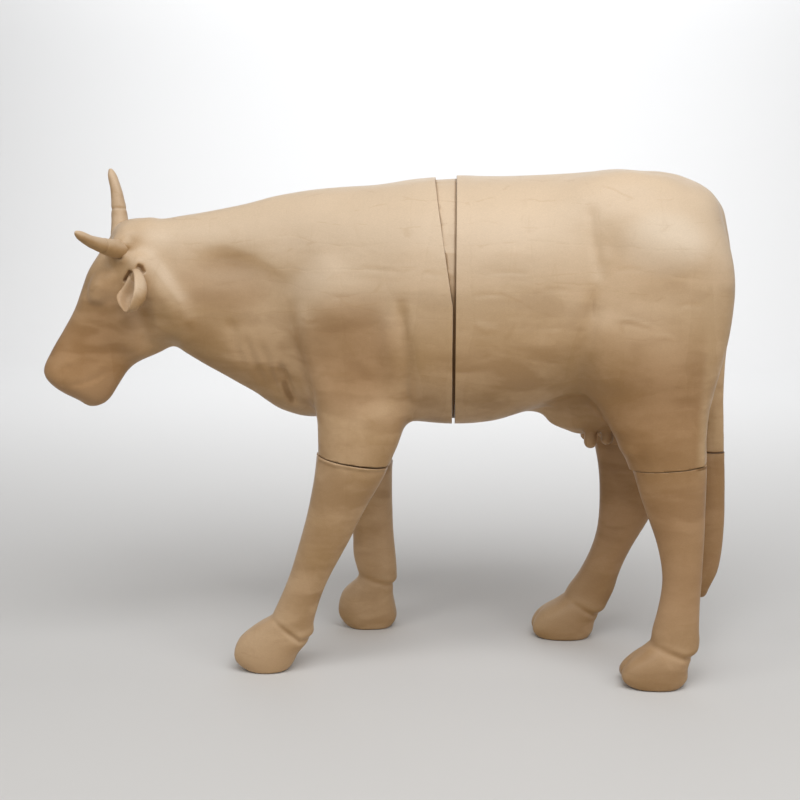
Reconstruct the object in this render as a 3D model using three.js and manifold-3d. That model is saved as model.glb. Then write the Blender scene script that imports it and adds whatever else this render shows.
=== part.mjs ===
// A life-size standing cow of brown kraft-paper mache, moulded in sections that push together:
// two body halves with a collar between them, four lower legs, a tail end, two ears, two horns.
//
// Millimetres, +Z up. The cow faces -X and its left side is -Y. Every shape is worked out in a
// modelling frame whose x = 0 is at the body joint and whose z = 0 is the ground. The finished
// group is moved along X and Y so that its origin is on the ground under its middle.
//
// The two halves are one smooth form: tubes and blobs are blended into a distance field, the
// field's surface is skinned with a lattice, and the skin is cut square at each joint.

import * as THREE from 'three';
import { mergeVertices } from 'three/addons/utils/BufferGeometryUtils.js';
import Module from 'manifold-3d';

const wasm = await Module();
wasm.setup();

// ---------------------------------------------------------------- driving dimensions

// Where the parts of the cow stop and start.
const JOINT_GAP = 8;          // open gap between the halves below the collar's strip
const REAR_FACE_X = 5;        // the rear half is cut square here
const LEAN_FROM_Z = 1130;     // above this height the front half's face leans away
const LEAN = 0.159;           // how far it leans, per unit of height
const COLLAR_INSET_TOP = 8;   // the collar's strip lies this far below the skin on top
const COLLAR_INSET_SIDE = 16; // and this far below it down the sides
const FIT = 0.4;              // clearance where two pieces meet face to face
const BETWEEN_LEGS = 50;        // the leg seams stop this far from the middle
const TAIL_SEAM_Z = 664;
const TAIL_SEAM_GAP = 1.5;
const SOLE_Z = 12;            // the flat soles, in the modelling frame
const TEAT_RADIUS = 16;

// The head is carried to the left a little: its own frame turns about this point.
const HEAD_PIVOT = new THREE.Vector3(-940, -55, 1200);
const HEAD_TURN = THREE.MathUtils.degToRad(15);
const FACE_SLOPE = THREE.MathUtils.degToRad(29);   // forehead, measured from the vertical

// Trunk and neck: sections across X, from the throat to the rump.
// low and high are the underline and topline, belt is the height of the widest line.
const TRUNK = [
  { at: -900, low: 990, high: 1344, belt: 1170, half: 90, side: -42 },
  { at: -820, low: 967, high: 1358, belt: 1160, half: 100, side: -30 },
  { at: -720, low: 909, high: 1374, belt: 1145, half: 108, side: -18 },
  { at: -620, low: 850, high: 1395, belt: 1125, half: 118, side: -9 },
  { at: -520, low: 797, high: 1420, belt: 1105, half: 142, side: -3 },
  { at: -430, low: 772, high: 1435, belt: 1090, half: 178, side: 0 },
  { at: -330, low: 764, high: 1443, belt: 1085, half: 216, side: 0 },
  { at: -230, low: 760, high: 1451, belt: 1080, half: 250, side: 0 },
  { at: -120, low: 757, high: 1467, belt: 1080, half: 278, side: 0 },
  { at: 0, low: 750, high: 1476, belt: 1085, half: 292, side: 0 },
  { at: 120, low: 761, high: 1476, belt: 1095, half: 298, side: 0 },
  { at: 250, low: 803, high: 1480, belt: 1110, half: 295, side: 0 },
  { at: 380, low: 840, high: 1487, belt: 1130, half: 282, side: 0 },
  { at: 480, low: 868, high: 1493, belt: 1145, half: 268, side: 0 },
  { at: 590, low: 910, high: 1485, belt: 1160, half: 248, side: 0 },
];

// Head: sections across the line from the poll down to the muzzle.
// low is the jaw side, high is the forehead side.
const HEAD = [
  { at: -60, low: -90, high: 104, belt: 20, half: 84, side: 0 },
  { at: 0, low: -150, high: 112, belt: 22, half: 94, side: 0 },
  { at: 60, low: -185, high: 116, belt: 24, half: 99, side: 0 },
  { at: 120, low: -195, high: 108, belt: 22, half: 92, side: 0 },
  { at: 180, low: -172, high: 100, belt: 16, half: 79, side: 0 },
  { at: 240, low: -128, high: 101, belt: 8, half: 69, side: 0 },
  { at: 300, low: -107, high: 104, belt: 2, half: 69, side: 0 },
  { at: 360, low: -105, high: 104, belt: 0, half: 74, side: 0 },
];

// Legs: sections across Z. low is the front edge and high the back edge along X.
const LEFT_FORE = [
  { at: 6, low: -612, high: -496, half: 57, side: -150 },
  { at: 38, low: -651, high: -472, half: 64, side: -150 },
  { at: 75, low: -657, high: -453, half: 65, side: -151 },
  { at: 111, low: -636, high: -420, half: 60, side: -153 },
  { at: 150, low: -588, high: -413, half: 53, side: -155 },
  { at: 178, low: -543, high: -408, half: 49, side: -157 },
  { at: 216, low: -521, high: -397, half: 46, side: -160 },
  { at: 292, low: -487, high: -370, half: 46, side: -165 },
  { at: 383, low: -458, high: -322, half: 52, side: -170 },
  { at: 506, low: -424, high: -262, half: 63, side: -177 },
  { at: 627, low: -399, high: -196, half: 78, side: -182 },
  { at: 693, low: -390, high: -168, half: 86, side: -183 },
  { at: 787, low: -392, high: -136, half: 92, side: -176 },
  { at: 900, low: -420, high: -136, half: 92, side: -160 },
  { at: 1050, low: -445, high: -150, half: 84, side: -148 },
];
const RIGHT_FORE = [
  { at: 6, low: -336, high: -204, half: 57, side: 214 },
  { at: 38, low: -366, high: -181, half: 64, side: 214 },
  { at: 68, low: -376, high: -182, half: 65, side: 213 },
  { at: 125, low: -359, high: -192, half: 60, side: 211 },
  { at: 160, low: -326, high: -188, half: 52, side: 209 },
  { at: 184, low: -303, high: -180, half: 49, side: 207 },
  { at: 240, low: -319, high: -183, half: 46, side: 205 },
  { at: 340, low: -323, high: -190, half: 50, side: 200 },
  { at: 450, low: -344, high: -194, half: 60, side: 194 },
  { at: 562, low: -374, high: -193, half: 73, side: 188 },
  { at: 670, low: -390, high: -182, half: 84, side: 184 },
  { at: 787, low: -402, high: -142, half: 92, side: 176 },
  { at: 900, low: -425, high: -138, half: 92, side: 160 },
  { at: 1050, low: -447, high: -150, half: 84, side: 148 },
];
const LEFT_HIND = [
  { at: 6, low: 528, high: 663, half: 57, side: -226 },
  { at: 36, low: 493, high: 690, half: 64, side: -226 },
  { at: 74, low: 504, high: 690, half: 64, side: -225 },
  { at: 106, low: 541, high: 704, half: 58, side: -223 },
  { at: 136, low: 578, high: 721, half: 50, side: -221 },
  { at: 178, low: 588, high: 720, half: 47, side: -219 },
  { at: 242, low: 604, high: 721, half: 45, side: -208 },
  { at: 325, low: 613, high: 725, half: 45, side: -202 },
  { at: 429, low: 594, high: 728, half: 50, side: -194 },
  { at: 540, low: 551, high: 728, half: 58, side: -186 },
  { at: 653, low: 514, high: 729, half: 70, side: -177 },
  { at: 756, low: 449, high: 729, half: 87, side: -168 },
  { at: 860, low: 390, high: 741, half: 106, side: -160 },
  { at: 1000, low: 362, high: 768, half: 122, side: -152 },
  { at: 1150, low: 372, high: 776, half: 118, side: -142 },
];
const RIGHT_HIND = [
  { at: 6, low: 278, high: 434, half: 57, side: 149 },
  { at: 34, low: 256, high: 455, half: 64, side: 149 },
  { at: 68, low: 263, high: 461, half: 64, side: 150 },
  { at: 104, low: 296, high: 486, half: 59, side: 151 },
  { at: 136, low: 352, high: 505, half: 52, side: 153 },
  { at: 168, low: 371, high: 520, half: 48, side: 155 },
  { at: 232, low: 414, high: 539, half: 45, side: 158 },
  { at: 320, low: 452, high: 578, half: 47, side: 164 },
  { at: 391, low: 466, high: 622, half: 52, side: 169 },
  { at: 460, low: 468, high: 645, half: 60, side: 174 },
  { at: 540, low: 465, high: 656, half: 61, side: 172 },
  { at: 653, low: 444, high: 670, half: 72, side: 176 },
  { at: 756, low: 418, high: 696, half: 87, side: 168 },
  { at: 860, low: 384, high: 732, half: 106, side: 160 },
  { at: 1000, low: 362, high: 768, half: 122, side: 152 },
  { at: 1150, low: 372, high: 776, half: 118, side: 142 },
];

// Tail: sections across Z, from the end of the tuft up to the dock.
const TAIL = [
  { at: 232, low: 744, high: 790, half: 22, side: 0 },
  { at: 285, low: 732, high: 812, half: 31, side: 0 },
  { at: 350, low: 731, high: 822, half: 35, side: 0 },
  { at: 450, low: 736, high: 825, half: 33, side: 0 },
  { at: 560, low: 742, high: 821, half: 28, side: 0 },
  { at: 664, low: 745, high: 815, half: 26, side: 0 },
  { at: 810, low: 736, high: 806, half: 29, side: 0 },
  { at: 925, low: 732, high: 805, half: 32, side: 0 },
  { at: 1060, low: 745, high: 812, half: 35, side: 0 },
  { at: 1200, low: 730, high: 812, half: 39, side: 0 },
  { at: 1320, low: 690, high: 790, half: 44, side: 0 },
];

// Horns, in the head's frame. They are alike but plugged in at different turns: the left one
// lies forwards, the right one stands up.
const HORN_ROOT_RADIUS = 28.5;
const HORNS = {
  left_horn: [[-38, -88, 73], [-56, -115, 77], [-82, -155, 88], [-116, -195, 104], [-155, -226, 132]],
  right_horn: [[-35, 84, 92], [-34, 95, 120], [-34, 104, 158], [-40, 118, 230], [-56, 138, 297]],
};

// The seams of the legs: a sloping plane through a height at the leg's middle.
const LEG_SEAMS = {
  left_fore_leg: { rows: LEFT_FORE, z: 675, middle: -285, slope: -0.15, opening: 9 },
  right_fore_leg: { rows: RIGHT_FORE, z: 592, middle: -285, slope: -0.12, opening: 7 },
  left_hind_leg: { rows: LEFT_HIND, z: 661, middle: 620, slope: 0.1, opening: 4 },
  right_hind_leg: { rows: RIGHT_HIND, z: 655, middle: 555, slope: 0.05, opening: 4 },
};

// ---------------------------------------------------------------- curves through stations

// A smooth curve through one column of a table of stations.
function column(rows, name) {
  const at = rows.map((row) => row.at);
  const value = rows.map((row) => row[name]);
  const last = rows.length - 1;
  const slope = value.map((_, i) => {
    const a = Math.max(i - 1, 0);
    const b = Math.min(i + 1, last);
    return (value[b] - value[a]) / (at[b] - at[a]);
  });
  return (x) => {
    let i = 0;
    while (i < last - 1 && x > at[i + 1]) i += 1;
    const span = at[i + 1] - at[i];
    const t = THREE.MathUtils.clamp((x - at[i]) / span, 0, 1);
    const t2 = t * t;
    const t3 = t2 * t;
    return (2 * t3 - 3 * t2 + 1) * value[i] + (t3 - 2 * t2 + t) * span * slope[i]
      + (3 * t2 - 2 * t3) * value[i + 1] + (t3 - t2) * span * slope[i + 1];
  };
}

// All the columns of a table at once. The belt is the middle where it isn't given.
function sections(rows) {
  const filled = rows.map((row) => ({ belt: (row.low + row.high) / 2, ...row }));
  const curves = {};
  for (const name of ['low', 'high', 'belt', 'half', 'side']) curves[name] = column(filled, name);
  const first = rows[0].at;
  const last = rows[rows.length - 1].at;
  return (x) => {
    const place = THREE.MathUtils.clamp(x, first, last);
    const section = { place };
    for (const name in curves) section[name] = curves[name](place);
    return section;
  };
}

// ---------------------------------------------------------------- distance fields

// A tube of superelliptic sections along one line. depth, height and side pick the point's
// coordinates along the line, across it in the tables' low-high direction, and sideways.
function tube(rows, { startCap, endCap, power = 2.2, frame }) {
  const sectionAt = sections(rows);
  return (p) => {
    const [depth, height, side] = frame(p);
    const s = sectionAt(depth);
    const across = height - s.belt;
    const reach = across > 0 ? s.high - s.belt : s.belt - s.low;
    const beyond = depth - s.place;
    const cap = beyond < 0 ? startCap : endCap;
    const sum = Math.abs(across / reach) ** power + Math.abs((side - s.side) / s.half) ** power
      + Math.abs(beyond / cap) ** power;
    const r = sum ** (1 / power);
    if (r < 1e-4) return -Math.min(reach, s.half);
    return Math.hypot(across, side - s.side, beyond) * (1 - 1 / r);
  };
}

const alongX = (p) => [p.x, p.z, p.y];
const alongZ = (p) => [p.z, p.x, p.y];

// A point of the modelling frame in the head's own frame: x points back from the face.
const cosTurn = Math.cos(HEAD_TURN);
const sinTurn = Math.sin(HEAD_TURN);
function inHead(p) {
  const dx = p.x - HEAD_PIVOT.x;
  const dy = p.y - HEAD_PIVOT.y;
  return { x: dx * cosTurn + dy * sinTurn, y: dy * cosTurn - dx * sinTurn, z: p.z - HEAD_PIVOT.z };
}
// Along the face, out of the forehead, and sideways.
function alongFace(p) {
  const h = inHead(p);
  const down = -h.x * Math.sin(FACE_SLOPE) - h.z * Math.cos(FACE_SLOPE);
  const out = -h.x * Math.cos(FACE_SLOPE) + h.z * Math.sin(FACE_SLOPE);
  return [down, out, h.y];
}

// An ellipsoid on both sides of the middle plane of its frame.
function blobs(centre, radii, frame) {
  return (p) => {
    const [a, b, c] = frame(p);
    const u = a - centre[0];
    const v = b - centre[1];
    const w = Math.abs(c) - centre[2];
    const r = Math.hypot(u / radii[0], v / radii[1], w / radii[2]);
    if (r < 1e-4) return -Math.min(...radii);
    return Math.hypot(u, v, w) * (1 - 1 / r);
  };
}

// A rod with round ends and its own radius at each end.
function rod(a, b, radiusA, radiusB, frame) {
  const start = new THREE.Vector3(...a);
  const line = new THREE.Vector3(...b).sub(start);
  const point = new THREE.Vector3();
  return (p) => {
    point.set(...frame(p)).sub(start);
    const t = THREE.MathUtils.clamp(point.dot(line) / line.lengthSq(), 0, 1);
    return point.addScaledVector(line, -t).length() - THREE.MathUtils.lerp(radiusA, radiusB, t);
  };
}

// Joins two fields with a fillet about as wide as softness.
function blend(a, b, softness) {
  const h = Math.max(softness - Math.abs(a - b), 0) / softness;
  return Math.min(a, b) - h * h * softness / 4;
}

const trunk = tube(TRUNK, { startCap: 70, endCap: 206, power: 2.3, frame: alongX });
const head = tube(HEAD, { startCap: 84, endCap: 52, power: 2.35, frame: alongFace });
const tail = tube(TAIL, { startCap: 36, endCap: 80, frame: alongZ });
const foreLegs = [LEFT_FORE, RIGHT_FORE].map((rows) => tube(rows, {
  startCap: 40, endCap: 190, frame: alongZ,
}));
const hindLegs = [LEFT_HIND, RIGHT_HIND].map((rows) => tube(rows, {
  startCap: 40, endCap: 210, frame: alongZ,
}));
const brow = blobs([74, 66, 84], [46, 30, 24], alongFace);
const cheek = blobs([128, -84, 50], [92, 78, 38], alongFace);
const jawBone = blobs([300, -60, 30], [110, 46, 32], alongFace);
const poll = rod([-84, 62, -62], [-84, 62, 62], 32, 32, alongFace);
const hornBosses = Object.values(HORNS).map(([root, next]) => {
  const side = Math.sign(root[1]);
  const end = root.map((value, n) => value + (next[n] - value) * 0.3);
  return rod([-28, side * 56, 74], end, 32, HORN_ROOT_RADIUS + 2, (p) => Object.values(inHead(p)));
});
const earBase = blobs([-8, 8, 82], [34, 34, 22], alongFace);
const brisket = blobs([-440, 868, 0], [116, 88, 92], alongX);
const udder = blobs([395, 830, 0], [150, 114, 112], alongX);
const groin = blobs([505, 828, 62], [112, 84, 60], alongX);
const hookBones = blobs([480, 1376, 150], [150, 92, 74], alongX);
const seat = blobs([668, 935, 0], [96, 200, 130], alongX);

function body(p) {
  let f = blend(trunk(p), head(p), 46);
  for (const leg of foreLegs) f = blend(f, leg(p), 60);
  for (const leg of hindLegs) f = blend(f, leg(p), 70);
  f = blend(f, brisket(p), 60);
  f = blend(f, hookBones(p), 110);
  f = blend(f, seat(p), 80);
  f = blend(f, groin(p), 50);
  f = blend(f, udder(p), 50);
  f = blend(f, tail(p), 26);
  f = blend(f, cheek(p), 40);
  f = blend(f, jawBone(p), 30);
  f = blend(f, brow(p), 26);
  f = blend(f, poll(p), 30);
  for (const boss of hornBosses) f = blend(f, boss(p), 20);
  return blend(f, earBase(p), 26);
}

// ---------------------------------------------------------------- skinning a field

const STEP = 0.5;      // how far apart the field is read to find its slope

// Pulls a point along the field's slope until it lies on the surface.
function pull(field, point, times) {
  const probe = new THREE.Vector3();
  const slope = new THREE.Vector3();
  for (let n = 0; n < times; n += 1) {
    const f = field(point);
    for (const axis of ['x', 'y', 'z']) {
      probe.copy(point);
      probe[axis] += STEP;
      slope[axis] = (field(probe) - f) / STEP;
    }
    const steepness = Math.max(slope.lengthSq(), 0.05);
    point.addScaledVector(slope, THREE.MathUtils.clamp(-f / steepness, -12, 12));
  }
}

// A lattice of counts [nx, ny, nz] cells. corner(i, j, k) gives a corner's place.
function skin(field, counts, corner) {
  const [nx, ny, nz] = counts;
  const index = (i, j, k) => (i * (ny + 1) + j) * (nz + 1) + k;
  const corners = [];
  const value = [];
  for (let i = 0; i <= nx; i += 1) {
    for (let j = 0; j <= ny; j += 1) {
      for (let k = 0; k <= nz; k += 1) {
        corners.push(corner(i, j, k));
        value.push(field(corners[corners.length - 1]));
      }
    }
  }
  const steps = [[1, 0, 0], [0, 1, 0], [0, 0, 1]];
  const points = [];
  const pointOf = new Map();
  const cellPoint = (i, j, k) => {
    const key = index(i, j, k);
    if (pointOf.has(key)) return pointOf.get(key);
    const sum = new THREE.Vector3();
    let crossings = 0;
    for (let n = 0; n < 12; n += 1) {
      const axis = n >> 2;
      const [b, c] = [(axis + 1) % 3, (axis + 2) % 3];
      const from = [i, j, k];
      from[b] += n & 1;
      from[c] += (n >> 1) & 1;
      const a = index(...from);
      const d = index(from[0] + steps[axis][0], from[1] + steps[axis][1], from[2] + steps[axis][2]);
      if ((value[a] < 0) === (value[d] < 0)) continue;
      const t = value[a] / (value[a] - value[d]);
      sum.addScaledVector(corners[a], 1 - t).addScaledVector(corners[d], t);
      crossings += 1;
    }
    points.push(sum.divideScalar(crossings));
    pointOf.set(key, points.length - 1);
    return points.length - 1;
  };
  const quads = [];
  for (let i = 0; i < nx; i += 1) {
    for (let j = 0; j < ny; j += 1) {
      for (let k = 0; k < nz; k += 1) {
        for (let axis = 0; axis < 3; axis += 1) {
          if ([i, j, k].some((n, other) => other !== axis && n === 0)) continue;
          const a = value[index(i, j, k)] < 0;
          const step = steps[axis];
          const b = value[index(i + step[0], j + step[1], k + step[2])] < 0;
          if (a === b) continue;
          const [u, v] = [steps[(axis + 1) % 3], steps[(axis + 2) % 3]];
          const around = [[1, 1], [0, 1], [0, 0], [1, 0]].map(([m, n]) => cellPoint(
            i - m * u[0] - n * v[0], j - m * u[1] - n * v[1], k - m * u[2] - n * v[2]));
          quads.push(a ? around : around.reverse());
        }
      }
    }
  }
  points.forEach((point) => pull(field, point, 3));
  relax(field, points, quads, 3);
  return solidOf(points, quads);
}

// Evens out the mesh: each point moves towards the middle of its neighbours, then back on.
function relax(field, points, quads, times) {
  const neighbours = points.map(() => new Set());
  for (const quad of quads) {
    quad.forEach((a, n) => {
      const b = quad[(n + 1) % 4];
      neighbours[a].add(b);
      neighbours[b].add(a);
    });
  }
  for (let n = 0; n < times; n += 1) {
    const moved = points.map((point, a) => {
      const middle = new THREE.Vector3();
      for (const b of neighbours[a]) middle.add(points[b]);
      return middle.divideScalar(neighbours[a].size).lerp(point, 0.5);
    });
    moved.forEach((point, a) => {
      pull(field, point, 2);
      points[a].copy(point);
    });
  }
}

// Each quad is cut along its shorter diagonal.
function solidOf(points, quads) {
  const faces = [];
  for (const [a, b, c, d] of quads) {
    const short = points[a].distanceTo(points[c]) <= points[b].distanceTo(points[d]);
    faces.push(...(short ? [a, b, c, a, c, d] : [a, b, d, b, c, d]));
  }
  const geometry = new THREE.BufferGeometry().setFromPoints(points);
  geometry.setIndex(faces);
  return solid(geometry);
}

// ---------------------------------------------------------------- solids and cuts

function solid(geometry) {
  const bare = geometry.clone();
  bare.deleteAttribute('normal');
  bare.deleteAttribute('uv');
  const merged = mergeVertices(bare, 1e-4);
  return new wasm.Manifold(new wasm.Mesh({
    numProp: 3,
    vertProperties: new Float32Array(merged.attributes.position.array),
    triVerts: new Uint32Array(merged.index.array),
  }));
}

function geometryOf(manifold) {
  const mesh = manifold.getMesh();
  const geometry = new THREE.BufferGeometry();
  geometry.setAttribute('position', new THREE.BufferAttribute(mesh.vertProperties, 3));
  geometry.setIndex(Array.from(mesh.triVerts));
  return geometry;
}

// An outline in the X-Z plane, drawn across the whole width of the cow.
function sideCut(outline) {
  const width = 1200;
  const shape = new THREE.Shape(outline.map(([x, z]) => new THREE.Vector2(x, z)));
  const geometry = new THREE.ExtrudeGeometry(shape, { depth: width, bevelEnabled: false });
  geometry.rotateX(Math.PI / 2);
  geometry.translate(0, width / 2, 0);
  return solid(geometry);
}

function box(low, high) {
  const size = high.map((value, n) => value - low[n]);
  const geometry = new THREE.BoxGeometry(...size);
  geometry.translate(...high.map((value, n) => (value + low[n]) / 2));
  return solid(geometry);
}

// The block of space under a leg's seam, wide enough for that leg only.
function underSeam(seam) {
  const side = seam.rows[seam.rows.length - 4].side;
  const reach = 210;
  const zAt = (x) => seam.z + seam.slope * (x - seam.middle);
  const [front, back] = [seam.middle - reach, seam.middle + reach];
  const wedge = sideCut([[front, 400], [back, 400], [back, zAt(back)], [front, zAt(front)]]);
  const [inner, outer] = side < 0 ? [-400, -BETWEEN_LEGS] : [BETWEEN_LEGS, 400];
  return wedge.intersect(box([front - 1, inner, 300], [back + 1, outer, 900]));
}

// ---------------------------------------------------------------- the two halves

const BODY_CELLS = [47, 14, 23];
const NECK_SLICES = 12;
const HEAD_SLICES = 12;
const TRUNK_SLICES = BODY_CELLS[0] - NECK_SLICES - HEAD_SLICES;

const widthAt = column([
  { at: -1240, half: 128 }, { at: -860, half: 140 }, { at: -600, half: 175 },
  { at: -380, half: 335 }, { at: 850, half: 335 },
], 'half');
const bottomAt = column([
  { at: -1240, low: 745 }, { at: -1060, low: 745 }, { at: -880, low: 880 },
  { at: -620, low: 770 }, { at: -500, low: 515 }, { at: 850, low: 515 },
], 'low');
const topAt = column([
  { at: -1240, high: 1330 }, { at: -1000, high: 1400 }, { at: -500, high: 1490 },
  { at: 850, high: 1530 },
], 'high');
const middleAt = (x) => {
  const turned = HEAD_PIVOT.y + (x - HEAD_PIVOT.x) * Math.tan(HEAD_TURN);
  return x < HEAD_PIVOT.x ? turned : HEAD_PIVOT.y * THREE.MathUtils.smoothstep(-x, 380, 940);
};

function sliceX(i) {
  const lerp = THREE.MathUtils.lerp;
  if (i < HEAD_SLICES) return lerp(-1240, -900, i / HEAD_SLICES);
  if (i < HEAD_SLICES + NECK_SLICES) return lerp(-900, -450, (i - HEAD_SLICES) / NECK_SLICES);
  return lerp(-450, 850, (i - HEAD_SLICES - NECK_SLICES) / TRUNK_SLICES);
}

function bodyCorner(i, j, k) {
  const x = sliceX(i);
  const y = middleAt(x) + widthAt(x) * (2 * j / BODY_CELLS[1] - 1);
  const z = THREE.MathUtils.lerp(bottomAt(x), topAt(x), k / BODY_CELLS[2]);
  return new THREE.Vector3(x, y, z);
}

const faceX = (z, gap) => {
  const leaning = Math.max(z - LEAN_FROM_Z, 0) * LEAN;
  return REAR_FACE_X - JOINT_GAP + gap - leaning;
};
const ABOVE = 1700;
const BELOW = 500;

const STUB_END = 556;   // the legs are skinned down to here, a little past their seams
const whole = skin((p) => Math.max(body(p), STUB_END - p.z), BODY_CELLS, bodyCorner);
const tailBelow = box([728, -70, 500], [900, 70, TAIL_SEAM_Z]);
const earHollow = (side) => {
  const geometry = new THREE.SphereGeometry(1, 12, 8);
  geometry.scale(34, 34, 24);
  geometry.rotateY(THREE.MathUtils.degToRad(18));
  geometry.translate(4, side * 108, 8);
  return solid(geometry.applyMatrix4(headFrame.matrix));
};

const headFrame = new THREE.Group();
headFrame.position.copy(HEAD_PIVOT);
headFrame.rotation.z = HEAD_TURN;
headFrame.updateMatrix();

function frontHalf() {
  const keep = sideCut([
    [-1400, BELOW], [faceX(0, 0), BELOW], [faceX(0, 0), LEAN_FROM_Z],
    [faceX(ABOVE, 0), ABOVE], [-1400, ABOVE],
  ]);
  return whole.intersect(keep)
    .subtract(underSeam(LEG_SEAMS.left_fore_leg))
    .subtract(underSeam(LEG_SEAMS.right_fore_leg))
    .subtract(earHollow(-1))
    .subtract(earHollow(1))
    .subtract(hornSocket(HORNS.left_horn))
    .subtract(hornSocket(HORNS.right_horn));
}

// Level sections of the tail at the given heights.
function tailRings(heights) {
  const sectionAt = sections(TAIL);
  return heights.map((z) => levelRing(sectionAt(z), z, 12, 2.1, 0));
}

// The four teats hang from the udder: x, y, and how far down each one reaches.
const TEATS = [[408, -54, 684], [408, 54, 684], [458, -48, 694], [458, 48, 694]];

function teat([x, y, low]) {
  const sides = 10;
  const profile = [[0.35, 0], [0.8, 5], [1, 16], [1.05, 34], [1.3, 52], [1.6, 78]];
  const rings = profile.map(([wide, up]) => Array.from({ length: sides }, (_, m) => {
    const angle = -2 * Math.PI * m / sides;
    const radius = TEAT_RADIUS * wide;
    return new THREE.Vector3(x + radius * Math.cos(angle), y - radius * Math.sin(angle), low + up);
  }));
  return solid(loft(rings));
}

function rearHalf() {
  const keep = box([REAR_FACE_X, -600, BELOW], [1000, 600, ABOVE]);
  return TEATS.reduce((sum, place) => sum.add(teat(place)), whole.intersect(keep))
    .subtract(underSeam(LEG_SEAMS.left_hind_leg))
    .subtract(underSeam(LEG_SEAMS.right_hind_leg))
    .subtract(tailBelow)
    .add(solid(loft(tailRings([TAIL_SEAM_Z, 720, 790, 860, 930, 1000]))));
}

// The collar fills the joint. It shows as a wedge on top, where the joint stands open.
function joiningSleeve() {
  const counts = [5, 12, 15];
  const field = (p) => {
    const depth = THREE.MathUtils.smoothstep(LEAN_FROM_Z + 80 - p.z, -60, 140);
    return trunk(p) + THREE.MathUtils.lerp(COLLAR_INSET_TOP, COLLAR_INSET_SIDE, depth);
  };
  const ring = skin((p) => Math.max(field(p), Math.abs(p.x + 25) - 70), counts, (i, j, k) => (
    new THREE.Vector3(-25 + 190 * (i / counts[0] - 0.5), 660 * (j / counts[1] - 0.5),
      720 + 790 * k / counts[2])));
  return ring.intersect(sideCut([
    [faceX(0, FIT), BELOW], [REAR_FACE_X - FIT, BELOW], [REAR_FACE_X - FIT, ABOVE],
    [faceX(ABOVE, FIT), ABOVE], [faceX(0, FIT), LEAN_FROM_Z],
  ]));
}

// ---------------------------------------------------------------- lofted pieces

// A closed body through rings of points, each ring in the same order. The ends are fanned.
function loft(rings) {
  const count = rings[0].length;
  const points = rings.flat();
  const faces = [];
  for (let n = 0; n < rings.length - 1; n += 1) {
    for (let m = 0; m < count; m += 1) {
      const a = n * count + m;
      const b = n * count + (m + 1) % count;
      faces.push(a, b, b + count, a, b + count, a + count);
    }
  }
  const close = (ring, outward) => {
    const middle = new THREE.Vector3();
    for (const point of ring) middle.add(point);
    points.push(middle.divideScalar(count));
    const start = points.indexOf(ring[0]);
    for (let m = 0; m < count; m += 1) {
      const [a, b] = [start + m, start + (m + 1) % count];
      faces.push(points.length - 1, ...(outward ? [a, b] : [b, a]));
    }
  };
  close(rings[0], false);
  close(rings[rings.length - 1], true);
  const geometry = new THREE.BufferGeometry().setFromPoints(points);
  geometry.setIndex(faces);
  return geometry;
}

// One level section of a leg or of the tail, with the front edge first.
function levelRing(section, z, count, power, cleft) {
  const ring = [];
  for (let m = 0; m < count; m += 1) {
    const angle = 2 * Math.PI * m / count;
    const round = (value) => Math.sign(value) * Math.abs(value) ** (2 / power);
    const [c, s] = [round(Math.cos(angle)), round(Math.sin(angle))];
    const reach = c > 0 ? section.belt - section.low : section.high - section.belt;
    const pinch = m === 0 ? cleft : 0;
    ring.push(new THREE.Vector3(section.belt - c * (reach - pinch), section.side - s * section.half, z));
  }
  return ring;
}

const LEG_SIDES = 16;
const CLEFT = 9;       // how deep the hoof is split at the front

// A lower leg: a flat sole, the hoof's rounded bulb, and up to the seam.
function lowerLeg(seam) {
  const sectionAt = sections(seam.rows);
  const heights = [SOLE_Z, SOLE_Z + 8, 40, 66, 96, 124, 150, 176, 212, 262, 330, 410, 490, 560, 630, 740];
  const rings = heights.map((z) => {
    const section = sectionAt(z);
    const power = THREE.MathUtils.lerp(2.5, 2.2, THREE.MathUtils.smoothstep(z, 60, 200));
    const cleft = CLEFT * (1 - THREE.MathUtils.smoothstep(z, 40, 120));
    if (z === SOLE_Z) {
      const shrink = 0.88;
      const middle = section.belt;
      section.low = middle + (section.low - middle) * shrink;
      section.high = middle + (section.high - middle) * shrink;
      section.half *= shrink;
    }
    return levelRing(section, z, LEG_SIDES, power, cleft);
  });
  const front = seam.middle - 210;
  const back = seam.middle + 210;
  const zAt = (x, gap) => seam.z + seam.slope * (x - seam.middle) - gap;
  const above = sideCut([
    [front, zAt(front, FIT)], [back, zAt(back, seam.opening)], [back, 900], [front, 900],
  ]);
  return geometryOf(solid(loft(rings)).subtract(above));
}

function tailEnd() {
  const tip = { z: 200, x: 766 };
  const rings = [[0.02, tip.z], [0.5, tip.z + 5], [0.84, tip.z + 18]].map(([shrink, z]) => {
    const section = sections(TAIL)(TAIL[0].at);
    return levelRing({
      belt: tip.x,
      low: tip.x - 23 * shrink,
      high: tip.x + 23 * shrink,
      side: 0,
      half: section.half * shrink,
    }, z, 12, 2, 0);
  });
  return loft([...rings, ...tailRings([240, 285, 340, 400, 470, 540, 610, TAIL_SEAM_Z - TAIL_SEAM_GAP])]);
}

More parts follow.
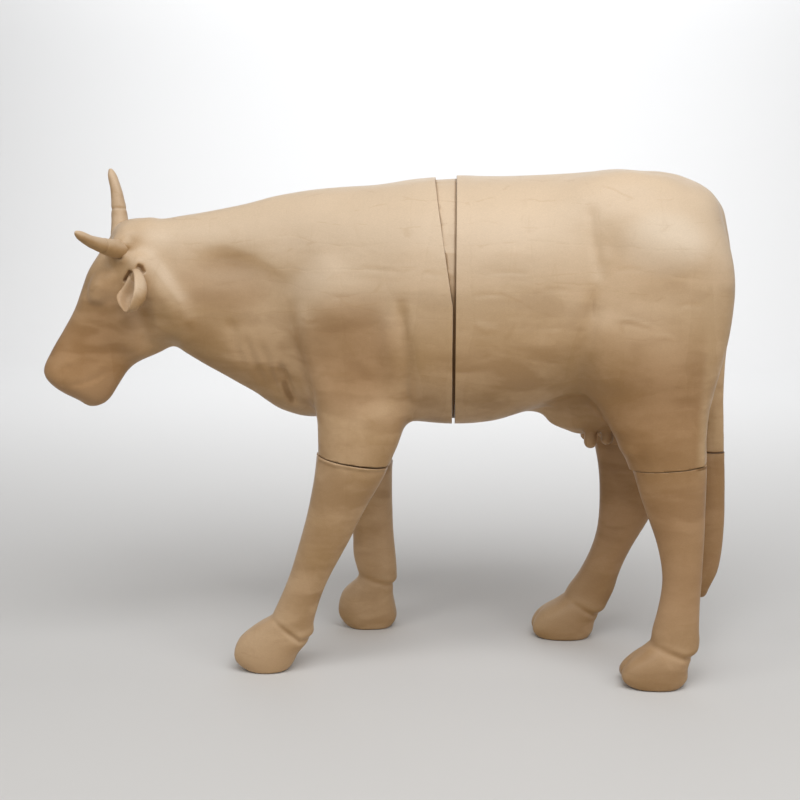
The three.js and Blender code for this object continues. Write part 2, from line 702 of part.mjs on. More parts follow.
// A horn, drawn in the head's frame: round sections along a curve, tapering to a blunt tip.
// grow makes it larger all round, for the socket that it is pushed into.
function horn(points, grow) {
  const curve = new THREE.CatmullRomCurve3(points.map((point) => new THREE.Vector3(...point)));
  const sides = 12;
  const stops = [0, 0.12, 0.28, 0.46, 0.64, 0.8, 0.9, 0.96, 0.99];
  const frames = curve.computeFrenetFrames(100);
  const rings = stops.map((t) => {
    const centre = curve.getPointAt(t).addScaledVector(frames.tangents[0], t === 0 ? -grow : 0);
    const n = Math.round(t * 100);
    const taper = 1 - 0.62 * t ** 1.15;
    const tip = Math.sqrt(Math.max(1 - ((t - 0.86) / 0.14) ** 2, 0.02));
    const radius = grow + HORN_ROOT_RADIUS * taper * (t > 0.86 ? tip : 1);
    return Array.from({ length: sides }, (_, m) => {
      const angle = 2 * Math.PI * m / sides;
      return centre.clone()
        .addScaledVector(frames.normals[n], radius * Math.cos(angle))
        .addScaledVector(frames.binormals[n], radius * Math.sin(angle));
    });
  });
  return loft(rings);
}

function hornSocket(points) {
  return solid(horn(points, FIT).applyMatrix4(headFrame.matrix));
}

// An ear, drawn in the head's frame: a leaf curled round its length, open to the front.
// Each row gives the middle of the curl, its radius, how far it curls, and the leaf's thickness.
const EAR = [
  { x: 0, y: -97, z: 10, radius: 11, from: -140, to: 140, thick: 9 },
  { x: 3, y: -117, z: 4, radius: 16, from: -150, to: 120, thick: 9 },
  { x: 2, y: -140, z: -13, radius: 28, from: -140, to: 96, thick: 10 },
  { x: -3, y: -158, z: -39, radius: 36, from: -140, to: 84, thick: 10 },
  { x: -14, y: -168, z: -64, radius: 35, from: -140, to: 78, thick: 10 },
  { x: -24, y: -173, z: -84, radius: 26, from: -130, to: 72, thick: 9 },
  { x: -28, y: -175, z: -95, radius: 12, from: -110, to: 70, thick: 7 },
];
const FLARE = 0.55;    // the inner side of the leaf opens wider than the outer side

function ear(side) {
  const around = 8;
  const centres = new THREE.CatmullRomCurve3(EAR.map((row) => new THREE.Vector3(row.x, row.y, row.z)));
  const rings = EAR.map((row, n) => {
    const along = centres.getTangent(n / (EAR.length - 1));
    const back = new THREE.Vector3(1, 0, 0).addScaledVector(along, -along.x).normalize();
    const out = new THREE.Vector3().crossVectors(along, back);
    const place = (degrees, radius) => {
      const angle = THREE.MathUtils.degToRad(degrees);
      return new THREE.Vector3(row.x, row.y, row.z)
        .addScaledVector(back, radius * Math.cos(angle))
        .addScaledVector(out, radius * Math.sin(angle));
    };
    const outer = [];
    const inner = [];
    for (let m = 0; m <= around; m += 1) {
      const degrees = THREE.MathUtils.lerp(row.from, row.to, m / around);
      const radius = row.radius * (1 + FLARE * Math.max(-60 - degrees, 0) / 80);
      outer.push(place(degrees, radius));
      inner.push(place(degrees, Math.max(radius - row.thick, 1.5)));
    }
    return [...outer, ...inner.reverse()];
  });
  const geometry = loft(rings);
  if (side > 0) {
    geometry.scale(1, -1, 1);
    const index = geometry.index.array;
    for (let n = 0; n < index.length; n += 3) [index[n], index[n + 1]] = [index[n + 1], index[n]];
  }
  return geometry;
}

// ---------------------------------------------------------------- the finished cow

const kraftPaper = () => new THREE.MeshStandardMaterial({ color: 0xc9ae88, roughness: 0.82, metalness: 0 });
const wornPaper = () => new THREE.MeshStandardMaterial({ color: 0xbfa27b, roughness: 0.85, metalness: 0 });

function piece(name, geometry, material) {
  const mesh = new THREE.Mesh(geometry, material);
  mesh.name = name;
  return mesh;
}

const cow = new THREE.Group();
cow.add(piece('front_half', geometryOf(frontHalf()), kraftPaper()));
cow.add(piece('rear_half', geometryOf(rearHalf()), kraftPaper()));
cow.add(piece('joining_sleeve', geometryOf(joiningSleeve()), wornPaper()));
for (const [name, seam] of Object.entries(LEG_SEAMS)) {
  cow.add(piece(name, lowerLeg(seam), kraftPaper()));
}
cow.add(piece('tail_end', tailEnd(), kraftPaper()));

headFrame.add(piece('left_ear', ear(-1), kraftPaper()));
headFrame.add(piece('right_ear', ear(1), kraftPaper()));
for (const [name, points] of Object.entries(HORNS)) {
  headFrame.add(piece(name, horn(points, 0), kraftPaper()));
}
cow.add(headFrame);

// The origin goes on the ground, under the middle of the whole.
const bounds = new THREE.Box3().setFromObject(cow);
const centre = bounds.getCenter(new THREE.Vector3());
cow.position.set(-centre.x, -centre.y, -bounds.min.z);

export default cow;
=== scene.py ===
"""Looks for a life-size papier-mache cow: a smooth paper skin over each part, its folds, laid strips
and wear, with painted light and shade in its colour, on a pale studio floor."""
import math
from collections import namedtuple

import bmesh
import bpy
import numpy as np
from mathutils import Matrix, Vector
from mathutils.bvhtree import BVHTree


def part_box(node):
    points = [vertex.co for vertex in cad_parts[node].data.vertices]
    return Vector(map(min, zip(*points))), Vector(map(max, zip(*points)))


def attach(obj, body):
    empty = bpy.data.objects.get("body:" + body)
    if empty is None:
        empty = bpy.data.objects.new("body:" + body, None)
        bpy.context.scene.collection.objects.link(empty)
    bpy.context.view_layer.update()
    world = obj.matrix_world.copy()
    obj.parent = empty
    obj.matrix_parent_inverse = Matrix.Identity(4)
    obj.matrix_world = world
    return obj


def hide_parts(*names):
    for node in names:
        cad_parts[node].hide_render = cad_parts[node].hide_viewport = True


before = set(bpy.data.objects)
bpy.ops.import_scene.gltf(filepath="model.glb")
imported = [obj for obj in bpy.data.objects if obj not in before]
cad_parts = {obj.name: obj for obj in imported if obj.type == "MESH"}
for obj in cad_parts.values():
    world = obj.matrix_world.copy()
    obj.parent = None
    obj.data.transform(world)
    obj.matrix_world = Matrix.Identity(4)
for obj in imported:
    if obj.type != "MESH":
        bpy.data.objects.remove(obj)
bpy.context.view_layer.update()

# ---------------------------------------------------------------- places on the cow

# Places are written in millimetres: along the cow from just before the rear half's front face,
# across it from the spine's plane, and up from a level a little under the hooves.
MM = 0.001
BEFORE_REAR_HALF = 0.005
UNDER_HOOVES = 0.012
rear_low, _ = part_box("rear_half")
collar_low, collar_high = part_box("joining_sleeve")
START = np.array([rear_low.x - BEFORE_REAR_HALF, (collar_low.y + collar_high.y) / 2, -UNDER_HOOVES])
HEAD_PIVOT = np.array([-940.0, -55.0, 1200.0])
HEAD_TURN = math.radians(15)
HEAD_BACK = -775       # the head's finer skin starts in front of this


def to_mm(points):
    return (points - START) / MM


def in_head(points):
    """The same places, in millimetres from the head's pivot and square to the turned head."""
    x, y, z = (points - HEAD_PIVOT).T
    c, s = math.cos(HEAD_TURN), math.sin(HEAD_TURN)
    return np.stack([c * x + s * y, -s * x + c * y, z], axis=1)


# ---------------------------------------------------------------- shapes of relief

def smoothstep(low, high, value):
    t = np.clip((value - low) / (high - low), 0, 1)
    return t * t * (3 - 2 * t)


def lumps(points, cell, seed):
    """Smooth noise from -1 to 1: one random value at each corner of a grid of cells."""
    q = points / np.asarray(cell, float)
    base = np.floor(q).astype(int)
    t = q - base
    t = t * t * (3 - 2 * t)
    base -= base.min(axis=0)
    table = np.random.default_rng(seed).uniform(-1, 1, base.max(axis=0) + 2)
    total = np.zeros(len(points))
    for corner in np.ndindex(2, 2, 2):
        weight = np.prod(np.where(corner, t, 1 - t), axis=1)
        i, j, k = (base + corner).T
        total += weight * table[i, j, k]
    return total


def along(u, v, path):
    """Distance to a path in a plane, how far along it (0 to 1), and which side: positive to its right."""
    best = np.full(len(u), 1e9)
    where = np.zeros(len(u))
    side = np.ones(len(u))
    steps = [math.dist(a, b) for a, b in zip(path, path[1:])]
    run = 0
    for (a, b), step in zip(zip(path, path[1:]), steps):
        du, dv = (b[0] - a[0]) / step, (b[1] - a[1]) / step
        t = np.clip((u - a[0]) * du + (v - a[1]) * dv, 0, step)
        gap_u, gap_v = u - a[0] - t * du, v - a[1] - t * dv
        gap = np.hypot(gap_u, gap_v)
        nearer = gap < best
        best = np.where(nearer, gap, best)
        where = np.where(nearer, (run + t) / sum(steps), where)
        side = np.where(nearer, np.where(gap_u * dv - gap_v * du > 0, 1, -1), side)
        run += step
    return best, where, side


def ends(where, fade=0.25):
    """1 along a path, falling to 0 at both ends."""
    return smoothstep(0, fade, where) * smoothstep(0, fade, 1 - where)


def line(u, v, path, width, height, fade=0.25):
    """A soft ridge, or a groove if height is negative."""
    gap, where, _ = along(u, v, path)
    return height * np.exp(-((gap / width) ** 2)) * ends(where, fade)


def fold(u, v, path, wide, narrow, height, fade=0.25):
    """A ridge that falls slowly to the right of its path and quickly to the left."""
    gap, where, side = along(u, v, path)
    width = np.where(side > 0, wide, narrow)
    return height * np.exp(-((gap / width) ** 2)) * ends(where, fade)


def bump(u, v, centre, size, height, turn=0):
    """An oval swelling, or a dent if height is negative."""
    c, s = math.cos(math.radians(turn)), math.sin(math.radians(turn))
    du, dv = u - centre[0], v - centre[1]
    return height * np.exp(-(((c * du + s * dv) / size[0]) ** 2) - ((-s * du + c * dv) / size[1]) ** 2)


# ---------------------------------------------------------------- smooth skins

LEAST_CUT = 0.0004      # square metres: a smaller flat face isn't a cut end
SAME_WAY = 0.9999       # faces of one flat end: the cosine between their normals, and how level they lie
LEVEL = 2e-4
SHARP = 0.7             # radians between two faces at a cut end's rim
FACING = -0.97          # a neighbour's end faces a cut end, within this reach
REACH = 0.02
HOLLOW = 0.04           # how far from its middle a round hollow's wall may lie
SOCKET_GAP = 0.0015     # how far from its plug a socket's wall may lie
LEVELS = 2              # of subdivision, fitted to the CAD node's points in a few rounds
FIT_ROUNDS = 3
TRIM_MARGIN = 0.012     # how much further than its spare length a cut end is looked for
CAP_SIDES = 12          # a face with as many sides closes a cut end, and stays flat
# How far past its cut ends a skin runs: one seam is pushed shut, and the tail's stands open.
LONGER = {"right_hind_leg": 0.0035, "tail_end": -0.0015}

Cut = namedtuple("Cut", "point normal verts low high")
trees = {
    name: BVHTree.FromObject(obj, bpy.context.evaluated_depsgraph_get())
    for name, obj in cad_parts.items()
}


def once_each(items):
    """A list without repeats, in the order given, so that each run makes the same mesh."""
    return list(dict.fromkeys(items))


def meets_neighbour(node, face):
    """True if another part's end lies just beyond this face."""
    for name, tree in trees.items():
        if name != node:
            _, normal, _, _ = tree.ray_cast(face.calc_center_median(), face.normal, REACH)
            if normal and normal.dot(face.normal) < FACING:
                return True
    return False


def cut_faces(node, bm):
    """The flat ends where a part meets another: most of their rim is sharp."""
    planes = []
    for face in sorted(bm.faces, key=lambda f: -f.calc_area()):
        centre = face.calc_center_median()
        for point, normal, faces in planes:
            if face.normal.dot(normal) > SAME_WAY and abs((centre - point).dot(normal)) < LEVEL:
                faces.append(face)
                break
        else:
            planes.append((centre, face.normal.copy(), [face]))
    found = []
    for point, normal, faces in planes:
        if sum(f.calc_area() for f in faces) < LEAST_CUT:
            continue
        if not any(meets_neighbour(node, f) for f in faces):
            continue
        own = set(faces)
        rim = [e for f in faces for e in f.edges if sum(g in own for g in e.link_faces) == 1]
        sharp = sum(e.calc_length() for e in rim if e.calc_face_angle(0) > SHARP)
        if sharp > 0.5 * sum(e.calc_length() for e in rim):
            verts = once_each(v for f in faces for v in f.verts)
            co = np.array([v.co for v in verts])
            found.append(Cut(point, normal, verts, co.min(0), co.max(0)))
    return found


def with_modifiers(mesh, settings):
    """The mesh after a list of modifiers: (kind, {setting: value})."""
    obj = bpy.data.objects.new("shaping", mesh)
    bpy.context.scene.collection.objects.link(obj)
    for kind, values in settings:
        modifier = obj.modifiers.new(kind, kind)
        for name, value in values.items():
            setattr(modifier, name, value)
    shaped = bpy.data.meshes.new_from_object(obj.evaluated_get(bpy.context.evaluated_depsgraph_get()))
    bpy.data.objects.remove(obj)
    return shaped


def close_sockets(bm, hollows, plugs):
    """Fills round hollows about the given places and the sockets of the given parts."""
    def in_socket(face):
        centre = face.calc_center_median()
        for place in hollows:
            gap = place - centre
            if gap.length < HOLLOW and gap.dot(face.normal) > 0.5 * gap.length:
                return True
        return any(trees[name].find_nearest(centre)[3] < SOCKET_GAP for name in plugs)

    bmesh.ops.delete(bm, geom=[f for f in bm.faces if in_socket(f)], context="FACES")
    open_edges = [e for e in bm.edges if e.is_boundary]
    while open_edges:
        rim = [open_edges.pop()]
        for edge in rim:
            for beside in once_each(e for v in edge.verts for e in v.link_edges):
                if beside in open_edges:
                    open_edges.remove(beside)
                    rim.append(beside)
        corners = once_each(v for e in rim for v in e.verts)
        middle = bm.verts.new(sum((v.co for v in corners), Vector()) / len(corners))
        for edge in rim:
            bm.faces.new((*edge.verts, middle))
    bmesh.ops.recalc_face_normals(bm, faces=bm.faces)


def at_limit(mesh):
    """Pushes the mesh's points out until its subdivided surface passes through where they were."""
    count = len(mesh.vertices)
    aim = np.empty(count * 3, np.float32)
    mesh.vertices.foreach_get("co", aim)
    now = aim.copy()
    for _ in range(FIT_ROUNDS):
        shaped = with_modifiers(mesh, [("SUBSURF", {"levels": LEVELS})])
        got = np.empty(len(shaped.vertices) * 3, np.float32)
        shaped.vertices.foreach_get("co", got)
        now += aim - got[:count * 3]
        mesh.vertices.foreach_set("co", now)


def rounded(node, cell, spare, passes, hollows, plugs):
    """A smooth copy of a CAD node, and its cut ends, which are left long by spare.

    With a cell, it is meshed anew in even cells of that size.
    """
    bm = bmesh.new()
    bm.from_mesh(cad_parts[node].data)
    bmesh.ops.remove_doubles(bm, verts=bm.verts, dist=1e-5)
    if hollows or plugs:
        close_sockets(bm, hollows, plugs)
    cuts = cut_faces(node, bm)
    crease = bm.edges.layers.float.new("crease_edge")
    for cut in cuts:
        for edge in once_each(e for v in cut.verts for e in v.link_edges):
            if edge.calc_face_angle(0) > SHARP:
                edge[crease] = 1
    for cut in cuts:
        for vert in cut.verts:
            vert.co += spare * cut.normal
    bmesh.ops.join_triangles(bm, faces=bm.faces, angle_face_threshold=0.6, angle_shape_threshold=1.0)
    mesh = bpy.data.meshes.new(node)
    bm.to_mesh(mesh)
    bm.free()
    at_limit(mesh)
    steps = [("SUBSURF", {"levels": LEVELS})]
    if cell:
        steps.append(("REMESH", {"mode": "VOXEL", "voxel_size": cell}))
        steps.append(("SMOOTH", {"factor": 0.5, "iterations": passes}))
    return with_modifiers(mesh, steps), [cut._replace(verts=None) for cut in cuts]


def refine(mesh, chosen, passes):
    """Halves the mesh's cells where chosen(x) holds, and smooths what was halved."""
    bm = bmesh.new()
    bm.from_mesh(mesh)
    edges = [e for e in bm.edges if all(chosen(v.co) for v in e.verts)]
    bmesh.ops.subdivide_edges(bm, edges=edges, cuts=1, use_grid_fill=True)
    verts = [v for v in bm.verts if chosen(v.co)]
    for _ in range(passes):
        bmesh.ops.smooth_vert(bm, verts=verts, factor=0.5, use_axis_x=True, use_axis_y=True, use_axis_z=True)
    bm.to_mesh(mesh)
    bm.free()


def emboss(mesh, broad, fine):
    """Moves the skin along its normals. The fine part is also kept, to colour creases and ridges."""
    count = len(mesh.vertices)
    co = np.empty(count * 3, np.float32)
    normal = np.empty(count * 3, np.float32)
    mesh.vertices.foreach_get("co", co)
    mesh.vertices.foreach_get("normal", normal)
    co, normal = co.reshape(-1, 3).astype(float), normal.reshape(-1, 3).astype(float)
    points = to_mm(co)
    small = fine(points, normal)
    co += normal * (broad(points, normal) + small)[:, None] * MM
    co[:, 2] = np.maximum(co[:, 2], 0)      # nothing dips under the floor
    mesh.vertices.foreach_set("co", co.astype(np.float32).ravel())
    relief = mesh.attributes.new("relief", "FLOAT", "POINT")
    relief.data.foreach_set("value", small.astype(np.float32))


def trim(mesh, cuts, spare, longer):
    """Cuts the long ends square again, longer by the given amount, and closes them."""
    bm = bmesh.new()
    bm.from_mesh(mesh)
    reach = 2 * spare + TRIM_MARGIN
    for cut in cuts:
        low, high = cut.low - reach, cut.high + reach
        near = [
            f for f in bm.faces
            if all(a < c < b for a, c, b in zip(low, f.calc_center_median(), high))
            and (f.calc_center_median() - cut.point).dot(cut.normal) > -reach
        ]
        geometry = once_each(g for f in near for g in (f, *f.edges, *f.verts))
        bmesh.ops.bisect_plane(
            bm, geom=geometry, dist=1e-6, plane_co=cut.point + longer * cut.normal,
            plane_no=cut.normal, clear_outer=True)
        rim = [e for e in bm.edges if e.is_boundary]
        bmesh.ops.holes_fill(bm, edges=rim, sides=0)
    bm.to_mesh(mesh)
    bm.free()


def skin(node, cell, spare, passes, broad, fine, finer=None, hollows=(), plugs=()):
    """Makes the paper skin that stands for a CAD node, with a broad and a fine relief."""
    mesh, cuts = rounded(node, cell, spare, passes, hollows, plugs)
    if finer:
        refine(mesh, finer, passes=3)
    emboss(mesh, broad, fine)
    if spare:
        trim(mesh, cuts, spare, LONGER.get(node, 0.0))
    mesh.polygons.foreach_set("use_smooth", [len(p.vertices) < CAP_SIDES for p in mesh.polygons])
    piece = bpy.data.objects.new(node + "_paper", mesh)
    bpy.context.scene.collection.objects.link(piece)
    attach(piece, "root")
    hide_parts(node)
    return piece


# ---------------------------------------------------------------- relief of the whole cow

# A turn of the noise's grid, so that its rows don't run along the cow.
SKEW = np.array([[0.8, 0.36, 0.48], [-0.6, 0.48, 0.64], [0, -0.8, 0.6]])


def hand_laid(points):
    """Uneven hand work: broad dents and smaller lumps."""
    turned = points @ SKEW
    return 1.5 * lumps(turned, (190, 150, 150), 1) + 0.7 * lumps(turned, (70, 60, 60), 2)


def wrinkles(points, normal):
    """Short level wrinkles, in patches, on what faces sideways."""
    sideways = smoothstep(0.35, 0.8, np.abs(normal[:, 1]))
    patches = smoothstep(0.0, 0.7, lumps(points, (170, 400, 90), 3))
    wave = lumps(points + 9 * lumps(points, (60, 400, 60), 4)[:, None], (75, 400, 13), 5)
    return 0.35 * wave * patches * sideways


def plain(points, _):
    return np.zeros(len(points))


# ---------------------------------------------------------------- the pieces

def head_place(x, y, z):
    """A place given in the turned head's own frame."""
    c, s = math.cos(HEAD_TURN), math.sin(HEAD_TURN)
    return Vector(START + MM * (HEAD_PIVOT + np.array([c * x - s * y, s * x + c * y, z])))


def near_side(points):
    """1 on the cow's left side, 0 on its right."""
    return smoothstep(40, -40, points[:, 1])


def off_spine(points):
    """How far places lie to either side of the spine, which bends with the neck."""
    return np.abs(points[:, 1] + 40 * smoothstep(-600, -800, points[:, 0]))


def flanks(points):
    """1 on both flanks, 0 over the spine and under the belly."""
    return smoothstep(50, 110, np.abs(points[:, 1]))


def grooves(u, v, table):
    """The sum of a table of lines: (path, width, height)."""
    return sum(line(u, v, path, width, height) for path, width, height in table)


# Lines over the cow's side: (along, up). In a table each has its width and its height.
RUFF = [(-935, 1258), (-880, 1236), (-838, 1180), (-792, 1118), (-778, 1068), (-800, 1015), (-828, 975)]
BEHIND_JAW = [(-936, 1170), (-910, 1095), (-890, 1030), (-866, 890)]
FRONT_FOLDS = [
    ([(-652, 1083), (-631, 981), (-606, 908)], 17, -3.5),      # folds of the dewlap
    ([(-612, 1035), (-583, 946), (-553, 858)], 14, -4.5),
    ([(-566, 1020), (-533, 917), (-507, 826)], 15, -5),
    ([(-530, 960), (-508, 890), (-488, 830)], 14, 3),
    ([(-506, 951), (-481, 868), (-458, 800)], 13, -11),
    ([(-467, 1152), (-463, 1039), (-445, 954), (-418, 876), (-398, 810)], 22, -7),   # shoulder, in front
    ([(-430, 1130), (-424, 1030), (-405, 950), (-378, 880), (-360, 820)], 30, 4),
    ([(-148, 1163), (-139, 1060), (-128, 975), (-122, 765)], 17, -11),      # shoulder, behind
    ([(-188, 1140), (-178, 1040), (-168, 960), (-163, 790)], 30, 6),
]
REAR_FOLDS = [
    ([(365, 1427), (373, 1322), (389, 1248), (394, 1185)], 16, -5),          # before the hip
    ([(382, 1205), (372, 1100), (358, 1012), (358, 922), (392, 850)], 24, -8),   # flank and thigh
    ([(425, 1130), (412, 1020), (415, 930), (450, 850)], 34, 4),
]
FRONT_CREASES = [
    ([(-396, 922), (-346, 925), (-284, 923)], 5, -1.3),
    ([(-260, 974), (-204, 977), (-148, 975)], 5, -1.1),
    ([(-343, 1146), (-315, 1148), (-282, 1140)], 5, -1.8),
    ([(-440, 1084), (-407, 1071), (-373, 1079)], 5, -1.4),
    ([(-436, 1090), (-405, 1078), (-380, 1088)], 5, 1.2),
    ([(-272, 1229), (-209, 1227), (-143, 1222)], 5, -1.3),
    ([(-93, 1220), (-50, 1215), (-12, 1215)], 5, -1.2),
    ([(-478, 1055), (-464, 1040), (-452, 1018)], 6, 1.6),
    ([(-502, 900), (-488, 850), (-468, 806)], 8, -6),
]
REAR_CREASES = [
    ([(382, 1168), (383, 1090)], 5, -2.6),
    ([(444, 1098), (496, 1090), (548, 1074)], 5, 2.0),
    ([(446, 1090), (496, 1082), (546, 1066)], 5, -1.2),
    ([(50, 1093), (75, 1074), (102, 1058)], 6, 2.2),
    ([(70, 1092), (98, 1074), (128, 1066)], 6, 1.8),
    ([(239, 1064), (269, 1059), (299, 1064)], 5, 1.8),
    ([(89, 1221), (152, 1224), (212, 1219)], 5, -1.3),
    ([(44, 1159), (93, 1164), (142, 1162)], 5, -1.5),
    ([(428, 1228), (477, 1233), (520, 1228)], 5, -1.3),
    ([(234, 1176), (277, 1179), (321, 1174)], 5, -1.2),
    ([(536, 1041), (568, 1052), (606, 1042)], 5, 1.6),
    ([(600, 1130), (640, 1136), (690, 1128)], 5, -1.2),
    ([(323, 820), (347, 809), (379, 812)], 6, -2.2),
    ([(330, 797), (365, 785), (406, 788)], 6, -2.0),
]


def head_broad(points):
    """Brow, eye, cheek, nostril and mouth, alike on both sides of the turned head."""
    x, y, z = in_head(points).T
    side = smoothstep(30, 62, np.abs(y)) * smoothstep(60, -40, x)
    h = line(x, z, [(-134, -42), (-106, -31), (-78, -42)], 11, 1.4)         # upper lid
    h += bump(x, z, (-107, -66), (20, 15), 1.6)                             # eyeball
    h += line(x, z, [(-140, -66), (-124, -86), (-100, -92), (-78, -78)], 9, -0.9)   # under the eye
    h += line(x, z, [(-133, -52), (-106, -44), (-78, -53)], 6, -0.5)        # between lid and eyeball
    h += line(x, z, [(-50, 70), (-80, 15), (-92, -25)], 30, 1)              # brow
    h += line(x, z, [(-30, -60), (-8, -120), (28, -175)], 24, 1)            # cheek
    h += line(x, z, [(-212, -322), (-167, -318), (-118, -302), (-80, -274)], 10, -2.2)   # mouth
    h += bump(x, z, (-199, -268), (17, 10), -2.4, 35)                       # nostril
    h += line(x, z, [(-222, -272), (-203, -252), (-180, -262)], 9, 1)       # over the nostril
    return h * side


def ear_slots(points):
    """The dark slots beside each ear's root, and the peg hole under each horn."""
    x, y, z = in_head(points).T
    side = smoothstep(55, 75, np.abs(y))
    h = line(x, z, [(-28, -20), (-18, -3), (-8, 14)], 4.5, -13, 0.12)
    h += line(x, z, [(6, 26), (17, 20), (25, 4)], 5, -12, 0.12)
    h += bump(x, z, (-37, 50), (4.5, 4.5), -6)
    return h * side


def front_broad(points, _):
    x, _, z = points.T
    h = hand_laid(points)
    trunk = smoothstep(50, 110, off_spine(points))
    throat = smoothstep(15, 100, off_spine(points))
    # a hollow behind the jaw, with the ruff of loose skin behind that
    h += line(x, z, BEHIND_JAW, 30, -27) * throat
    h += fold(x, z, RUFF, 62, 24, 14, 0.14) * throat
    h += fold(x + 38, z + 8, RUFF, 50, 40, 11, 0.14) * throat
    h += bump(x, z, (-831, 985), (26, 40), -11)
    h += grooves(x, z, FRONT_FOLDS) * trunk
    # the neck's side lies in under a soft edge
    h += bump(x, z, (-668, 1222), (130, 52), -9, -4) * trunk
    h += fold(x, z, [(-440, 1190), (-563, 1258), (-661, 1290), (-775, 1272)], 60, 26, 5) * trunk
    # the shoulder swells, then falls in towards the leg
    h += bump(x, z, (-290, 1130), (110, 80), 5) * trunk
    h += bump(x, z, (-300, 895), (105, 100), -9) * trunk
    # the end of a strip stands up on top of the neck
    h += bump(x, z, (-885, 1352), (20, 30), 4.5)
    return h + head_broad(points)


def front_fine(points, normal):
    x, _, z = points.T
    h = wrinkles(points, normal)
    h += 0.5 * grooves(x, z, FRONT_CREASES) * near_side(points)
    return h + ear_slots(points)


def rear_broad(points, _):
    x, _, z = points.T
    h = hand_laid(points)
    h += grooves(x, z, REAR_FOLDS) * flanks(points)
    # the hip's point and its swelling, and the hollow above it
    h += bump(x, z, (415, 1263), (24, 32), 2) * flanks(points)
    h += bump(x, z, (570, 1285), (115, 75), 16) * flanks(points)
    h += bump(x, z, (500, 1425), (100, 45), -9) * flanks(points)
    # the rump's end and its top
    h += bump(x, z, (735, 1420), (60, 60), 14) + bump(x, z, (585, 1500), (40, 40), 5)
    # the thigh swells, then falls in towards its seam
    h += bump(x, z, (455, 935), (60, 50), 6) * flanks(points)
    h += bump(x, z, (480, 1040), (160, 90), 7) * flanks(points)
    h += bump(x, z, (550, 820), (170, 95), -12) * flanks(points)
    # the teats are blunter than in CAD
    return h + smoothstep(735, 705, z) * smoothstep(540, 500, x) * 5


def rear_fine(points, normal):
    x, _, z = points.T
    return wrinkles(points, normal) + 0.5 * grooves(x, z, REAR_CREASES) * near_side(points)


def leg_relief(front, back, middle, rim=None):
    """Hand-cut planes, the groove round the hoof's top, the hoof's split and a rim at the leg's top.

    The groove runs from front to back, (along, up) each, and the split lies at middle, across.
    """
    def broad(points, normal):
        x, y, z = points.T
        h = 0.8 * hand_laid(points)
        h += 1.5 * lumps(points + 300, (52, 52, 280), 7)
        slope = (back[1] - front[1]) / (back[0] - front[0])
        above = z - front[1] - slope * (np.clip(x, front[0], back[0]) - front[0])
        heel = smoothstep(front[0], back[0], x)
        h -= (1.6 + 4 * heel) * np.exp(-((above + 4) / 10) ** 2)
        h += 2 * heel * np.exp(-((above - 14) / 14) ** 2)
        if rim:
            h += line(x, z, rim, 6, 4, 0.05) * smoothstep(0.2, 0.8, -normal[:, 1])
        # the hoof is split in front
        split = smoothstep(0.35, 0.8, -normal[:, 0]) * smoothstep(front[1] - 40, front[1] - 80, z)
        return h - 5 * split * np.exp(-((y - middle) / 6) ** 2)
    return broad


def small_broad(points, _):
    return 0.35 * hand_laid(points) + 0.5 * lumps(points, (30, 30, 40), 8)


def horn_relief(root):
    """Knobbly, with a ring where the horn's cap ends."""
    def fine(points, _):
        away = np.linalg.norm(in_head(points) - root, axis=1)
        return 0.7 * lumps(points, (16, 16, 16), 9) - 1.3 * np.exp(-((away - 90) / 4) ** 2)
    return fine


LEGS = {
    "left_fore_leg": leg_relief((-537, 188), (-449, 117), -150, [(-450, 692), (-100, 640)]),
    "right_fore_leg": leg_relief((-300, 194), (-193, 162), 214),
    "left_hind_leg": leg_relief((570, 150), (677, 111), -226),
    "right_hind_leg": leg_relief((358, 154), (455, 98), 149),
}
HORN_ROOTS = {"left_horn": (-38, -88, 73), "right_horn": (-35, 84, 92)}
EAR_SOCKETS = [head_place(4, -108, 8), head_place(4, 108, 8)]
head_back = START[0] + HEAD_BACK * MM

pieces = {
    "front_half": skin(
        "front_half", cell=0.007, spare=0.02, passes=5, broad=front_broad, fine=front_fine,
        finer=lambda place: place.x < head_back, hollows=EAR_SOCKETS, plugs=("left_horn", "right_horn")),
    "rear_half": skin("rear_half", cell=0.0065, spare=0.02, passes=5, broad=rear_broad, fine=rear_fine),
    "joining_sleeve": skin("joining_sleeve", cell=None, spare=0.0, passes=0, broad=plain, fine=plain),
}
for leg, relief in LEGS.items():
    pieces[leg] = skin(leg, cell=0.0035, spare=0.014, passes=6, broad=relief, fine=plain)
pieces["tail_end"] = skin("tail_end", cell=0.003, spare=0.012, passes=4, broad=small_broad, fine=plain)
for ear in ("left_ear", "right_ear"):
    pieces[ear] = skin(ear, cell=0.002, spare=0.0, passes=3, broad=small_broad, fine=plain)
for horn, root in HORN_ROOTS.items():
    pieces[horn] = skin(horn, cell=0.0025, spare=0.0, passes=3, broad=plain, fine=horn_relief(root))


# ---------------------------------------------------------------- materials

def add(tree, kind, values=(), **settings):
    """A node with its settings; a value is a number, a colour or another node's output."""
    made = tree.nodes.new("ShaderNode" + kind)
    for name, setting in settings.items():
        setattr(made, name, setting)
    for name, value in dict(values).items():
        if isinstance(value, bpy.types.NodeSocket):
            tree.links.new(value, made.inputs[name])
        else:
            made.inputs[name].default_value = value
    return made


def calc(tree, operation, *values):
    return add(tree, "Math", enumerate(values), operation=operation).outputs[0]


def product(tree, first, *others):
    """Values multiplied in turn."""
    for value in others:
        first = calc(tree, "MULTIPLY", first, value)
    return first


def largest(tree, first, *others):
    """The largest of several values."""
    for value in others:
        first = calc(tree, "MAXIMUM", first, value)
    return first


def spread(tree, value, low, high, to_low=0.0, to_high=1.0):
    """Maps low..high softly onto another range, held at its ends."""
    values = {"Value": value, "From Min": low, "From Max": high, "To Min": to_low, "To Max": to_high}
    return add(tree, "MapRange", values, interpolation_type="SMOOTHSTEP").outputs["Result"]


